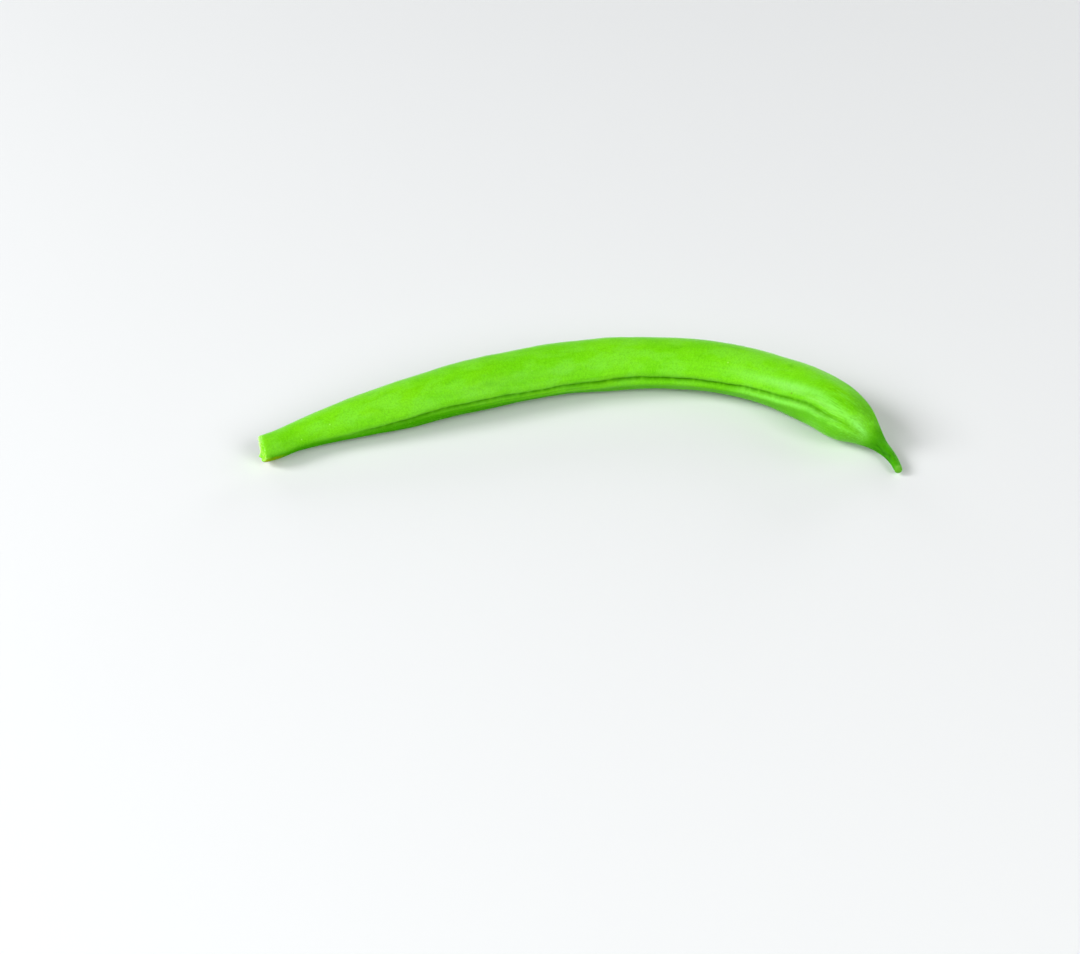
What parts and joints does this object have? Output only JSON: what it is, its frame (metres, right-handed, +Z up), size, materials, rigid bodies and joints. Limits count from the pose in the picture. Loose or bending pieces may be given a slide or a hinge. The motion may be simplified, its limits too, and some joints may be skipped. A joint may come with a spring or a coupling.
{
  "type": "green bean",
  "caption": "Fresh green bean pod lying on its side, gently bent, snapped off at the neck, with a seam along its belly, low swellings over the seeds and a thin curved beak.",
  "frame": {"origin": "on the surface the pod lies on, under the centre of the pod's bounding box", "axes": "+X along the pod from its snapped neck to its beak, +Y towards the outer side of the bend, +Z up from the surface it lies on"},
  "size_m": [0.1132, 0.0316, 0.0101],
  "materials": {
    "pod_skin": "satin"
  },
  "bodies": {
    "root": {"bean_pod": "pod_skin"}
  },
  "joints": []
}
